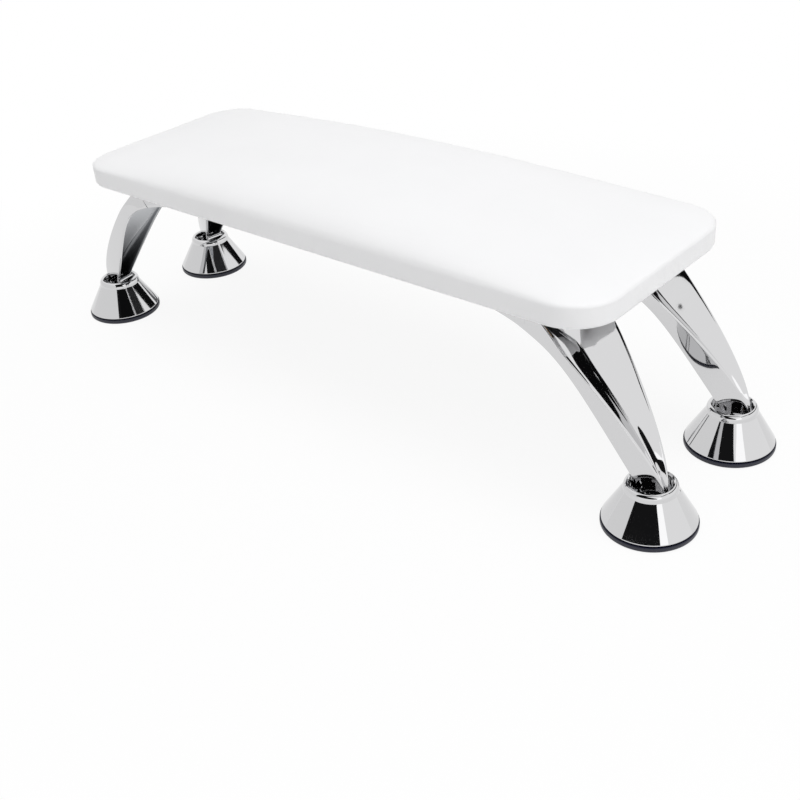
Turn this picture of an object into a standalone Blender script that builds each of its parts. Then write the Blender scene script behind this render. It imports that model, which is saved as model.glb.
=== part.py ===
"""Manicure hand rest: an upholstered pad on four curved die-cast legs with round feet.

Metres, +Z up. The origin is on the floor, under the middle of the pad. The pad is long
in X. Every size that can be set by itself is a named value below.
"""

import math

import bmesh
import bpy
from mathutils import Matrix, Vector

# Pad: plywood board, foam, leather cover and bottom lining
PAD_LENGTH = 0.400
PAD_WIDTH = 0.140
PAD_CORNER_RADIUS = 0.026
PAD_UNDERSIDE = 0.113
BOARD_THICKNESS = 0.0085
FOAM_EDGE = 0.0004
FOAM_CROWN = 0.015
FOAM_CROWN_END_DROP = 0.82
FOAM_SHOULDER = 0.034
COVER_THICKNESS = 0.0010
COVER_HEM = 0.018
COVER_BOTTOM_ROUND = 0.0012
LINING_THICKNESS = 0.0007
LINING_TRIM = 0.0005

# Legs: where the feet stand and how the casting runs from foot to mounting plate
FOOT_OVERHANG = 0.0212
FOOT_SET_IN = 0.0258
LEG_SPLAY = math.radians(7.9)
LEG_WALL = 0.0024
PLATE_INNER_END = 0.112
PLATE_OUTER_END = 0.064
PLATE_RIM_DEPTH = 0.0010
PLATE_RIM_WIDTH = 0.0016
PLATE_INNER_HALF_WIDTH = 0.0220
PLATE_OUTER_HALF_WIDTH = 0.0215
PLATE_SKIRT_DEPTH = 0.0065
PLATE_END_WALL = 0.0020
PLATE_DRAFT = 0.0004
LEG_END_HEIGHT = 0.0212
LEG_END_OUTER_REACH = 0.0100
LEG_END_INNER_REACH = 0.0028
LEG_END_OUTER_HALF_WIDTH = 0.0008
LEG_END_INNER_HALF_WIDTH = 0.0054
LEG_BROAD_DROP = 0.0192
LEG_BROAD_HALF_WIDTH = 0.0210
LEG_SHOULDER_PULL = 0.0050
LEG_SHIN_PULL = 0.0262
SKIRT_BROAD_DROP = 0.0157
SKIRT_BROAD_HALF_WIDTH = 0.0223
LEG_HOLLOW_PULL = 0.0700
LEG_HOLLOW_LEAN = math.radians(6.5)
LEG_CALF_PULL = 0.0893
LEG_CALF_LEAN = math.radians(31.2)
GROOVE_DEPTH = 0.0092
GROOVE_LEAST_DEPTH = 0.0013
GROOVE_DEPTH_PER_WIDTH = 0.42
GROOVE_FLOOR_HALF_WIDTH = 0.0005
GROOVE_KNEE_AT = 0.30
GROOVE_KNEE_DEPTH = 0.60
GROOVE_NARROWS_FROM = 0.12
GROOVE_NARROWS_OVER = 0.21
GROOVE_STEEPEST = math.radians(60.0)
GROOVE_LEAST_RUN = 0.0003
RIDGE_LARGEST_SHARE = 0.4
HOLLOW_LEAST_SHARE = 0.35
HOLLOW_FLOOR_SHARE = 0.8
HOLLOW_LEAST_LIP = 0.0012

# Boss at the leg's lower end, where the foot is screwed on
BOSS_RADIUS = 0.0045
BOSS_HEIGHT = 0.0085
KNUCKLE_RADIUS = 0.0034
KNUCKLE_HALF_LENGTH = 0.0062
KNUCKLE_REACH = 0.0048
KNUCKLE_HEIGHT = 0.0256

# Foot: chromed cup, rubber ring and the screw that holds the cup to the leg
FOOT_RADIUS = 0.0250
FOOT_HEIGHT = 0.0265
FOOT_MOUTH_RADIUS = 0.0111
FOOT_SHOULDER_RADIUS = 0.0143
FOOT_SHOULDER_HEIGHT = 0.0222
FOOT_FLOOR_TOP = 0.0205
FOOT_FLOOR_THICKNESS = 0.0025
FOOT_BOWL_RADIUS = 0.0176
FOOT_BOWL_TOP_RADIUS = 0.0080
FOOT_EDGE_ROUND = 0.0008
RING_HEIGHT = 0.0030
RING_PROUD = 0.0004
RING_STEP = 0.0008
RING_STEP_WIDTH = 0.0026
RING_RIB_HEIGHT = 0.0014
RING_RIB_WIDTH = 0.0020
FOOT_SCREW_RADIUS = 0.0025
FOOT_SCREW_HEAD_RADIUS = 0.0064
FOOT_SCREW_HEAD_HEIGHT = 0.0034
FOOT_SCREW_LENGTH = 0.0098

# Wood screws that hold the mounting plates to the board
PLATE_SCREW_RADIUS = 0.00175
PLATE_SCREW_HEAD_RADIUS = 0.0035
PLATE_SCREW_HEAD_HEIGHT = 0.0022
PLATE_SCREW_BITE = 0.0068
PLATE_SCREW_TIP = 0.0020
PLATE_SCREW_INSET = 0.0070
PLATE_INNER_SCREW_SPREAD = 0.0130
PLATE_OUTER_SCREW_SPREAD = 0.0085
PLATE_CENTRE_HOLE_RADIUS = 0.0040
RECESS_ARM_SHARE = 0.56
RECESS_WIDTH_SHARE = 0.22
RECESS_DEPTH_SHARE = 0.55
HEAD_FACE_SHARE = 0.71
HEAD_ROUND_SHARE = 0.48

# Fits
TOUCH_GAP = 0.0003
SCREW_CLEARANCE = 0.0005
THREAD_CLEARANCE = 0.0003

# Places of the feet, which follow the pad
FOOT_X = PAD_LENGTH / 2.0 + FOOT_OVERHANG
FOOT_Y = PAD_WIDTH / 2.0 - FOOT_SET_IN

# Heights that follow from the stack of layers
BOARD_BOTTOM = PAD_UNDERSIDE + COVER_THICKNESS + TOUCH_GAP
BOARD_TOP = BOARD_BOTTOM + BOARD_THICKNESS
FOAM_BOTTOM = BOARD_TOP + TOUCH_GAP
COVER_STAND_OFF = COVER_THICKNESS + TOUCH_GAP
SHOULDER_HEIGHT = FOAM_BOTTOM + FOAM_EDGE + COVER_STAND_OFF
PLATE_RIM_TOP = PAD_UNDERSIDE - TOUCH_GAP
PLATE_UNDERSIDE = PLATE_RIM_TOP - PLATE_RIM_DEPTH - LEG_WALL
FOOT_SCREW_SEAT = FOOT_FLOOR_TOP - FOOT_FLOOR_THICKNESS - TOUCH_GAP
FOOT_SCREW_TOP = FOOT_SCREW_SEAT + FOOT_SCREW_LENGTH

LONG_SIDE_STEPS = 12
SHORT_SIDE_STEPS = 3
CORNER_STEPS = 4
ROUND_STEPS = 28
SCREW_STEPS = 8
BOSS_STEPS = 16
SHOULDER_STEPS = 4
SHIN_STEPS = 16
BOWL_STEPS = 4
LIP_STEPS = 3
PLATE_SECTION_SHARES = (0.30, 0.65)
# Sections this far apart make a step in the casting; they stay above the weld distance
STEP_SLIVER = 0.00002
WELD_DISTANCE = 0.00001

CORNERS = {
    "front_right": (1, -1),
    "back_right": (1, 1),
    "front_left": (-1, -1),
    "back_left": (-1, 1),
}


def clear_scene():
    for obj in list(bpy.data.objects):
        bpy.data.objects.remove(obj, do_unlink=True)


def make_material(name, colour, roughness, metallic):
    material = bpy.data.materials.new(name)
    material.use_nodes = True
    shader = material.node_tree.nodes["Principled BSDF"]
    shader.inputs["Base Color"].default_value = (*colour, 1.0)
    shader.inputs["Roughness"].default_value = roughness
    shader.inputs["Metallic"].default_value = metallic
    return material


def add_object(name, mesh, material, parent=None, sharp_degrees=35.0):
    obj = bpy.data.objects.new(name, mesh)
    bpy.context.scene.collection.objects.link(obj)
    obj.parent = parent
    if not mesh.materials:
        mesh.materials.append(material)
    mesh.shade_smooth()
    mesh.set_sharp_from_angle(angle=math.radians(sharp_degrees))
    return obj


def add_empty(name, location, turn, parent=None):
    empty = bpy.data.objects.new(name, None)
    bpy.context.scene.collection.objects.link(empty)
    empty.location = location
    empty.rotation_euler = (0.0, 0.0, turn)
    empty.parent = parent
    return empty


def finish_mesh(name, bm):
    """Weld doubled corners, face the surface outwards and return it as a mesh."""
    bmesh.ops.remove_doubles(bm, verts=bm.verts, dist=WELD_DISTANCE)
    bmesh.ops.recalc_face_normals(bm, faces=bm.faces)
    mesh = bpy.data.meshes.new(name)
    bm.to_mesh(mesh)
    bm.free()
    return mesh


def skin(bm, rings):
    """Add the faces between neighbouring rings and return the rows of their corners."""
    rows = [[bm.verts.new(point) for point in ring] for ring in rings]
    for lower, upper in zip(rows, rows[1:]):
        for i in range(len(lower)):
            j = (i + 1) % len(lower)
            bm.faces.new((lower[i], lower[j], upper[j], upper[i]))
    return rows


def lofted(name, rings, end_cap=True):
    """Skin rings of equal length; a last ring that has shrunk to a line needs no cap."""
    bm = bmesh.new()
    rows = skin(bm, rings)
    bm.faces.new(reversed(rows[0]))
    if end_cap:
        bm.faces.new(rows[-1])
    return finish_mesh(name, bm)


def turned(name, profile, steps):
    """Turn a profile of (radius, height) points about Z; points on the axis close it."""
    bm = bmesh.new()
    corners = [bm.verts.new((radius, 0.0, height)) for radius, height in profile]
    edges = [bm.edges.new(pair) for pair in zip(corners, corners[1:])]
    if profile[0][0] > 0.0:
        edges.append(bm.edges.new((corners[-1], corners[0])))
    bmesh.ops.spin(bm, geom=corners + edges, axis=(0, 0, 1), cent=(0, 0, 0),
                   angle=math.tau, steps=steps, use_merge=True)
    return finish_mesh(name, bm)


def carved(mesh, cutters, joined=()):
    """Return the mesh with other meshes joined to it and cutters taken out of it."""
    body = bpy.data.objects.new("body", mesh)
    bpy.context.scene.collection.objects.link(body)
    helpers = []
    for operation, shapes in (("UNION", joined), ("DIFFERENCE", cutters)):
        for shape in shapes:
            helper = bpy.data.objects.new("helper", shape)
            bpy.context.scene.collection.objects.link(helper)
            helper.hide_render = True
            helper.display_type = "WIRE"
            helpers.append(helper)
            modifier = body.modifiers.new(operation.lower(), "BOOLEAN")
            modifier.operation = operation
            modifier.object = helper
    depsgraph = bpy.context.evaluated_depsgraph_get()
    result = bpy.data.meshes.new_from_object(body.evaluated_get(depsgraph))
    result.name = mesh.name
    for helper in helpers:
        bpy.data.objects.remove(helper, do_unlink=True)
    bpy.data.objects.remove(body, do_unlink=True)
    return result


def rod(radius, low, high, steps, centre=(0.0, 0.0)):
    """An upright round rod between two heights."""
    mesh = turned("rod", [(0.0, low), (radius, low), (radius, high), (0.0, high)], steps)
    mesh.transform(Matrix.Translation((centre[0], centre[1], 0.0)))
    return mesh


def block(size, centre):
    bm = bmesh.new()
    bmesh.ops.create_cube(bm, size=1.0)
    bmesh.ops.scale(bm, vec=size, verts=bm.verts)
    bmesh.ops.translate(bm, vec=centre, verts=bm.verts)
    return finish_mesh("block", bm)


def cross_recess(head_radius, head_height, underside):
    """The two bars that cut a cross recess up into a head whose face is at underside."""
    arm = 2.0 * head_radius * RECESS_ARM_SHARE
    width = 2.0 * head_radius * RECESS_WIDTH_SHARE
    depth = 2.0 * head_height * RECESS_DEPTH_SHARE
    centre = (0.0, 0.0, underside)
    return [block((arm, width, depth), centre), block((width, arm, depth), centre)]


def pad_outline(inset):
    """Corners of the pad's rounded rectangle, drawn in by inset on every side."""
    half_length = PAD_LENGTH / 2.0 - inset
    half_width = PAD_WIDTH / 2.0 - inset
    radius = PAD_CORNER_RADIUS * (1.0 - inset / (PAD_WIDTH / 2.0))
    points = []
    for number, (side_x, side_y) in enumerate(((1, 1), (-1, 1), (-1, -1), (1, -1))):
        centre_x = side_x * (half_length - radius)
        centre_y = side_y * (half_width - radius)
        for step in range(CORNER_STEPS):
            angle = (number + step / CORNER_STEPS) * math.pi / 2.0
            points.append((centre_x + radius * math.cos(angle),
                           centre_y + radius * math.sin(angle)))
        angle = (number + 1) * math.pi / 2.0
        start = Vector((centre_x + radius * math.cos(angle),
                        centre_y + radius * math.sin(angle)))
        along_x = number % 2 == 0
        steps = LONG_SIDE_STEPS if along_x else SHORT_SIDE_STEPS
        if along_x:
            end = Vector((-centre_x, start.y))
        else:
            end = Vector((start.x, -centre_y))
        points.extend(tuple(start.lerp(end, step / steps)) for step in range(steps))
    return points


def crown_height(x):
    """How far the crown stands over the shoulder: highest mid-length, low at the ends."""
    along = x / (PAD_LENGTH / 2.0)
    return FOAM_CROWN * (1.0 - FOAM_CROWN_END_DROP * along * along)


def dome_rings(stand_in):
    """Rings over the crowned top, from the shoulder to the spine along the middle.

    stand_in is how far the surface lies inside the cover's outer face.
    """
    rings = []
    shoulder = SHOULDER_HEIGHT - stand_in
    for step in range(SHOULDER_STEPS + 1):
        angle = math.pi / 2.0 * step / SHOULDER_STEPS
        inset = FOAM_SHOULDER * (1.0 - math.cos(angle))
        rise = math.sin(angle)
        rings.append([(x, y, shoulder + rise * crown_height(x))
                      for x, y in pad_outline(stand_in + inset)])
    spine = PAD_WIDTH / 2.0
    rings.append([(x, y, shoulder + crown_height(x)) for x, y in pad_outline(spine)])
    return rings


def flat_ring(inset, height):
    return [(x, y, height) for x, y in pad_outline(inset)]


def make_cover():
    """Leather skin: crowned top, edge band, and a hem turned under the board."""
    outer = [flat_ring(COVER_HEM, PAD_UNDERSIDE),
             flat_ring(COVER_BOTTOM_ROUND, PAD_UNDERSIDE),
             flat_ring(0.0, PAD_UNDERSIDE + COVER_BOTTOM_ROUND)]
    outer.extend(dome_rings(0.0))
    inner = dome_rings(COVER_THICKNESS)
    inner.reverse()
    hem_top = PAD_UNDERSIDE + COVER_THICKNESS
    inner.extend([flat_ring(COVER_THICKNESS, hem_top), flat_ring(COVER_HEM, hem_top)])
    bm = bmesh.new()
    hem_low = skin(bm, outer)[0]
    hem_high = skin(bm, inner)[-1]
    for i in range(len(hem_low)):
        j = (i + 1) % len(hem_low)
        bm.faces.new((hem_low[i], hem_high[i], hem_high[j], hem_low[j]))
    return finish_mesh("pad_cover", bm)


def make_foam():
    rings = [flat_ring(COVER_STAND_OFF, FOAM_BOTTOM)]
    rings.extend(dome_rings(COVER_STAND_OFF))
    return lofted("pad_foam", rings, end_cap=False)


def plate_screw_places():
    """Local (along, across) places of the four wood screws of one mounting plate."""
    inner = PLATE_INNER_END - PLATE_SCREW_INSET
    outer = PLATE_OUTER_END + PLATE_SCREW_INSET
    return [(inner, PLATE_INNER_SCREW_SPREAD), (inner, -PLATE_INNER_SCREW_SPREAD),
            (outer, PLATE_OUTER_SCREW_SPREAD), (outer, -PLATE_OUTER_SCREW_SPREAD)]


def leg_frame(side_x, side_y):
    """World matrix of one leg: origin under its foot, local X towards its plate."""
    turn = math.pi + side_y * LEG_SPLAY if side_x > 0 else -side_y * LEG_SPLAY
    place = Matrix.Translation((side_x * FOOT_X, side_y * FOOT_Y, 0.0))
    return place @ Matrix.Rotation(turn, 4, "Z")


def screw_holes(radius, low, high):
    """Upright rods at every wood screw, in world places."""
    rods = []
    for side_x, side_y in CORNERS.values():
        frame = leg_frame(side_x, side_y)
        for along, across in plate_screw_places():
            centre = frame @ Vector((along, across, 0.0))
            rods.append(rod(radius, low, high, SCREW_STEPS, (centre.x, centre.y)))
    return rods


def make_board():
    edge = COVER_STAND_OFF
    blank = lofted("pad_board", [flat_ring(edge, BOARD_BOTTOM), flat_ring(edge, BOARD_TOP)])
    bore = PLATE_SCREW_RADIUS + THREAD_CLEARANCE
    hole_top = BOARD_BOTTOM + PLATE_SCREW_BITE + SCREW_CLEARANCE
    return carved(blank, screw_holes(bore, BOARD_BOTTOM - TOUCH_GAP, hole_top))


def make_lining():
    edge = COVER_HEM + LINING_TRIM
    top = PAD_UNDERSIDE + LINING_THICKNESS
    blank = lofted("pad_lining", [flat_ring(edge, PAD_UNDERSIDE), flat_ring(edge, top)])
    bore = PLATE_SCREW_RADIUS + THREAD_CLEARANCE
    return carved(blank, screw_holes(bore, PAD_UNDERSIDE - TOUCH_GAP, top + TOUCH_GAP))


def bezier(points, share):
    """Point of a cubic curve given by its end points and handles."""
    a, b, c, d = points
    rest = 1.0 - share
    return (a * rest ** 3 + b * 3.0 * rest ** 2 * share
            + c * 3.0 * rest * share ** 2 + d * share ** 3)


def bezier_direction(points, share):
    """Direction in which a cubic curve runs at a share of its length."""
    a, b, c, d = points
    rest = 1.0 - share
    slope = (b - a) * rest ** 2 + (c - b) * 2.0 * rest * share + (d - c) * share ** 2
    return slope.normalized()


def ridge_curve():
    """Outer ridges of the leg, from the plate's outer end down to the foot."""
    start = Vector((PLATE_OUTER_END, PLATE_RIM_TOP))
    end = Vector((-LEG_END_OUTER_REACH, LEG_END_HEIGHT))
    return (start, start - Vector((LEG_SHOULDER_PULL, 0.0)),
            end + Vector((0.0, LEG_SHIN_PULL)), end)


def skirt_curve():
    """Free lower edges of the leg's side walls, from the plate's inner end to the foot."""
    start = Vector((PLATE_INNER_END, PLATE_RIM_TOP - PLATE_SKIRT_DEPTH))
    fall = Vector((math.cos(LEG_HOLLOW_LEAN), math.sin(LEG_HOLLOW_LEAN)))
    end = Vector((LEG_END_INNER_REACH, LEG_END_HEIGHT))
    lean = Vector((math.sin(LEG_CALF_LEAN), math.cos(LEG_CALF_LEAN)))
    return (start, start - fall * LEG_HOLLOW_PULL, end + lean * LEG_CALF_PULL, end)


def skirt_across(ridge, direction):
    """Point of the skirt curve that lies square across the leg from a ridge point."""
    curve = skirt_curve()
    low, high = 0.0, 1.0
    for _ in range(30):
        middle = (low + high) / 2.0
        if (bezier(curve, middle) - ridge).dot(direction) < 0.0:
            low = middle
        else:
            high = middle
    return bezier(curve, (low + high) / 2.0)


def blend(start, end, share):
    return start + (end - start) * min(1.0, max(0.0, share))


def half_width_at(height, end_half, broad_drop, broad_half, top_half):
    """Half width of the leg: it widens from the foot up to a broad place, then holds."""
    broad = PLATE_RIM_TOP - broad_drop
    if height > broad:
        return blend(broad_half, top_half, (height - broad) / broad_drop)
    return blend(end_half, broad_half, (height - LEG_END_HEIGHT) / (broad - LEG_END_HEIGHT))


def leg_section(ridge, skirt, ridge_half, skirt_half, groove, floor_half, opened, hollow):
    """One cross-section of the leg, as a ring of points.

    ridge and skirt are (along, height) points of the outer ridges and the free edges.
    The groove is cut into the outer side down to its floor, and the inner side is
    hollowed so that the walls keep their thickness. opened goes from 0 on the flat
    plate to 1 where the groove is a V. A section without hollow is full.
    """
    down = skirt - ridge
    depth = down.length
    down.normalize()
    rim = min(PLATE_RIM_WIDTH, ridge_half * RIDGE_LARGEST_SHARE)
    floor_half = min(floor_half, ridge_half - rim - GROOVE_LEAST_RUN)
    run = ridge_half - rim - floor_half
    slope = min(math.atan2(groove, run), GROOVE_STEEPEST)
    under = blend(LEG_WALL, LEG_WALL / math.cos(slope), opened)
    inner_half = max(ridge_half - LEG_WALL, HOLLOW_LEAST_SHARE * ridge_half)
    corner = under + max(0.0, ridge_half - rim - inner_half) * math.tan(slope)
    corner = min(blend(groove + LEG_WALL, corner, opened), depth - HOLLOW_LEAST_LIP)
    floor = groove + under
    if not hollow:
        corner = depth - STEP_SLIVER
        floor = depth - STEP_SLIVER
    floor_inner_half = min(floor_half, inner_half * HOLLOW_FLOOR_SHARE)
    skirt_inner = skirt_half - LEG_WALL
    knee = (floor_half + run * GROOVE_KNEE_AT, groove * GROOVE_KNEE_DEPTH)
    half_ring = [(skirt_half, depth), (ridge_half, 0.0), (ridge_half - rim, 0.0), knee,
                 (floor_half, groove)]
    inner_ring = [(floor_inner_half, floor), (inner_half, corner), (skirt_inner, depth)]
    flat = [(-across, drop) for across, drop in half_ring]
    flat.extend(reversed(half_ring))
    flat.extend(reversed(inner_ring))
    flat.extend((-across, drop) for across, drop in inner_ring)
    return [(ridge.x + down.x * drop, across, ridge.y + down.y * drop)
            for across, drop in flat]


def make_leg():
    """One casting: mounting plate, grooved and hollowed arm, and the boss for the foot."""
    sections = []
    plate_run = PLATE_INNER_END - PLATE_OUTER_END
    inner_face = PLATE_INNER_END - PLATE_END_WALL
    stations = [(PLATE_INNER_END, False), (inner_face, False),
                (inner_face - STEP_SLIVER, True)]
    for share in PLATE_SECTION_SHARES:
        stations.append((PLATE_INNER_END - share * plate_run, True))
    for along, hollow in stations:
        share = (PLATE_INNER_END - along) / plate_run
        half = blend(PLATE_INNER_HALF_WIDTH, PLATE_OUTER_HALF_WIDTH, share)
        ridge = Vector((along, PLATE_RIM_TOP))
        skirt = skirt_across(ridge, Vector((-1.0, 0.0)))
        groove = PLATE_RIM_DEPTH if hollow else STEP_SLIVER
        sections.append(leg_section(ridge, skirt, half, half + PLATE_DRAFT, groove, half,
                                    0.0, hollow))
    curve = ridge_curve()
    for step in range(SHIN_STEPS + 1):
        share = step / SHIN_STEPS
        ridge = bezier(curve, share)
        skirt = skirt_across(ridge, bezier_direction(curve, share))
        ridge_half = half_width_at(ridge.y, LEG_END_OUTER_HALF_WIDTH, LEG_BROAD_DROP,
                                   LEG_BROAD_HALF_WIDTH, PLATE_OUTER_HALF_WIDTH)
        skirt_half = half_width_at(skirt.y, LEG_END_INNER_HALF_WIDTH, SKIRT_BROAD_DROP,
                                   SKIRT_BROAD_HALF_WIDTH, SKIRT_BROAD_HALF_WIDTH)
        opened = blend(0.0, 1.0, (share - GROOVE_NARROWS_FROM) / GROOVE_NARROWS_OVER)
        full = min(GROOVE_DEPTH, GROOVE_LEAST_DEPTH + GROOVE_DEPTH_PER_WIDTH * ridge_half)
        groove = blend(PLATE_RIM_DEPTH, full, opened)
        floor_half = blend(ridge_half, GROOVE_FLOOR_HALF_WIDTH, opened)
        sections.append(leg_section(ridge, skirt, ridge_half, skirt_half, groove,
                                    floor_half, opened, True))
    casting = lofted("leg", sections)
    boss_low = FOOT_FLOOR_TOP + TOUCH_GAP
    boss = rod(BOSS_RADIUS, boss_low, boss_low + BOSS_HEIGHT, BOSS_STEPS)
    knuckle = rod(KNUCKLE_RADIUS, -KNUCKLE_HALF_LENGTH, KNUCKLE_HALF_LENGTH, BOSS_STEPS)
    knuckle.transform(Matrix.Rotation(math.pi / 2.0, 4, "X"))
    knuckle.transform(Matrix.Translation((KNUCKLE_REACH, 0.0, KNUCKLE_HEIGHT)))
    thread = rod(FOOT_SCREW_RADIUS + THREAD_CLEARANCE, boss_low - TOUCH_GAP,
                 FOOT_SCREW_TOP + SCREW_CLEARANCE, SCREW_STEPS)
    cutters = [thread]
    low = PLATE_UNDERSIDE - LEG_WALL
    hole = PLATE_SCREW_RADIUS + SCREW_CLEARANCE
    for along, across in plate_screw_places():
        cutters.append(rod(hole, low, PLATE_RIM_TOP, SCREW_STEPS, (along, across)))
    middle = (PLATE_INNER_END + PLATE_OUTER_END) / 2.0
    cutters.append(rod(PLATE_CENTRE_HOLE_RADIUS, low, PLATE_RIM_TOP, BOSS_STEPS,
                       (middle, 0.0)))
    return carved(casting, cutters, joined=[boss, knuckle])


def make_foot_cup():
    """Chromed cone with a mouth for the leg, a bowl below and a groove for the ring."""
    base = RING_HEIGHT + TOUCH_GAP
    floor_low = FOOT_FLOOR_TOP - FOOT_FLOOR_THICKNESS
    hole = FOOT_SCREW_RADIUS + SCREW_CLEARANCE
    profile = [(FOOT_RADIUS - FOOT_EDGE_ROUND, base), (FOOT_RADIUS, base + FOOT_EDGE_ROUND)]
    lip = FOOT_MOUTH_RADIUS + FOOT_EDGE_ROUND
    for step in range(LIP_STEPS + 1):
        angle = math.pi / 2.0 * step / LIP_STEPS
        profile.append((blend(lip, FOOT_SHOULDER_RADIUS, math.cos(angle)),
                        blend(FOOT_SHOULDER_HEIGHT, FOOT_HEIGHT, math.sin(angle))))
    profile.append((FOOT_MOUTH_RADIUS, FOOT_HEIGHT - FOOT_EDGE_ROUND))
    profile.extend([(FOOT_MOUTH_RADIUS, FOOT_FLOOR_TOP), (hole, FOOT_FLOOR_TOP),
                    (hole, floor_low), (FOOT_BOWL_TOP_RADIUS, floor_low)])
    for step in range(1, BOWL_STEPS + 1):
        angle = math.pi / 2.0 * step / BOWL_STEPS
        radius = blend(FOOT_BOWL_TOP_RADIUS, FOOT_BOWL_RADIUS, math.sin(angle))
        profile.append((radius, blend(floor_low, base, 1.0 - math.cos(angle))))
    rib_middle = (FOOT_RADIUS + FOOT_BOWL_RADIUS) / 2.0
    slot_half = RING_RIB_WIDTH / 2.0 + TOUCH_GAP
    slot_top = base + RING_RIB_HEIGHT
    profile.extend([(rib_middle - slot_half, base), (rib_middle - slot_half, slot_top),
                    (rib_middle + slot_half, slot_top), (rib_middle + slot_half, base)])
    return turned("foot_cup", profile, ROUND_STEPS)


def make_foot_ring():
    """Rubber ring under the cup, stepped below and with a rib that holds it in the cup."""
    outer = FOOT_RADIUS + RING_PROUD
    rib_middle = (FOOT_RADIUS + FOOT_BOWL_RADIUS) / 2.0
    rib_half = RING_RIB_WIDTH / 2.0
    rib_top = RING_HEIGHT + RING_RIB_HEIGHT
    step = FOOT_BOWL_RADIUS + RING_STEP_WIDTH
    profile = [(outer - FOOT_EDGE_ROUND, 0.0), (outer, FOOT_EDGE_ROUND), (outer, RING_HEIGHT),
               (rib_middle + rib_half, RING_HEIGHT), (rib_middle + rib_half, rib_top),
               (rib_middle - rib_half, rib_top), (rib_middle - rib_half, RING_HEIGHT),
               (FOOT_BOWL_RADIUS, RING_HEIGHT), (FOOT_BOWL_RADIUS, RING_STEP),
               (step, RING_STEP), (step, 0.0)]
    return turned("foot_ring", profile, ROUND_STEPS)


def make_foot_screw():
    """Cross-recess screw: head under the cup's floor, thread up into the leg's boss."""
    face = FOOT_SCREW_SEAT - FOOT_SCREW_HEAD_HEIGHT
    rim = FOOT_SCREW_HEAD_RADIUS
    profile = [(0.0, face), (HEAD_FACE_SHARE * rim, face),
               (rim, face + HEAD_ROUND_SHARE * FOOT_SCREW_HEAD_HEIGHT),
               (rim, FOOT_SCREW_SEAT), (FOOT_SCREW_RADIUS, FOOT_SCREW_SEAT),
               (FOOT_SCREW_RADIUS, FOOT_SCREW_TOP), (0.0, FOOT_SCREW_TOP)]
    blank = turned("foot_screw", profile, BOSS_STEPS)
    return carved(blank, cross_recess(rim, FOOT_SCREW_HEAD_HEIGHT, face))


def make_plate_screw():
    """Pan-head wood screw with a cross recess and a pointed tip."""
    seat = PLATE_UNDERSIDE - TOUCH_GAP
    face = seat - PLATE_SCREW_HEAD_HEIGHT
    rim = PLATE_SCREW_HEAD_RADIUS
    tip = BOARD_BOTTOM + PLATE_SCREW_BITE
    profile = [(0.0, face), (HEAD_FACE_SHARE * rim, face),
               (rim, face + HEAD_ROUND_SHARE * PLATE_SCREW_HEAD_HEIGHT),
               (rim, seat), (PLATE_SCREW_RADIUS, seat),
               (PLATE_SCREW_RADIUS, tip - PLATE_SCREW_TIP), (0.0, tip)]
    blank = turned("plate_screw", profile, SCREW_STEPS)
    return carved(blank, cross_recess(rim, PLATE_SCREW_HEAD_HEIGHT, face))


def main():
    clear_scene()
    leather = make_material("leather", (0.90, 0.90, 0.90), 0.50, 0.0)
    foam = make_material("foam", (0.85, 0.80, 0.55), 0.90, 0.0)
    wood = make_material("plywood", (0.62, 0.45, 0.27), 0.70, 0.0)
    cloth = make_material("lining_cloth", (0.05, 0.05, 0.05), 0.95, 0.0)
    chrome = make_material("chrome", (0.80, 0.80, 0.82), 0.06, 1.0)
    rubber = make_material("rubber", (0.01, 0.015, 0.05), 0.45, 0.0)
    zinc = make_material("zinc_plate", (0.62, 0.63, 0.66), 0.30, 1.0)

    root = add_empty("hand_rest", (0.0, 0.0, 0.0), 0.0)
    add_object("pad_cover", make_cover(), leather, root)
    add_object("pad_foam", make_foam(), foam, root)
    add_object("pad_board", make_board(), wood, root)
    add_object("pad_lining", make_lining(), cloth, root)

    leg_mesh = make_leg()
    cup_mesh = make_foot_cup()
    ring_mesh = make_foot_ring()
    foot_screw_mesh = make_foot_screw()
    plate_screw_mesh = make_plate_screw()
    for corner, (side_x, side_y) in CORNERS.items():
        frame = leg_frame(side_x, side_y)
        stand = add_empty("corner_" + corner, frame.translation, frame.to_euler().z, root)
        add_object("leg_" + corner, leg_mesh, chrome, stand)
        add_object("foot_cup_" + corner, cup_mesh, chrome, stand)
        add_object("foot_ring_" + corner, ring_mesh, rubber, stand)
        add_object("foot_screw_" + corner, foot_screw_mesh, zinc, stand)
        for number, (along, across) in enumerate(plate_screw_places(), start=1):
            name = f"plate_screw_{corner}_{number}"
            screw = add_object(name, plate_screw_mesh, zinc, stand)
            screw.location = (along, across, 0.0)


main()
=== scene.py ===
"""Looks of the manicure hand rest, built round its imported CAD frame.

Metres, +Z up, in the frame of the CAD model: the origin is on the floor under the middle
of the pad, and the pad is long in X. Every new piece keeps its object at the origin and
has its place in its mesh.
"""

from __future__ import annotations

import logging
import math
from dataclasses import dataclass, field
from enum import Enum
from typing import ClassVar

import bmesh
import bpy
from mathutils import Matrix, Vector, noise


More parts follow.
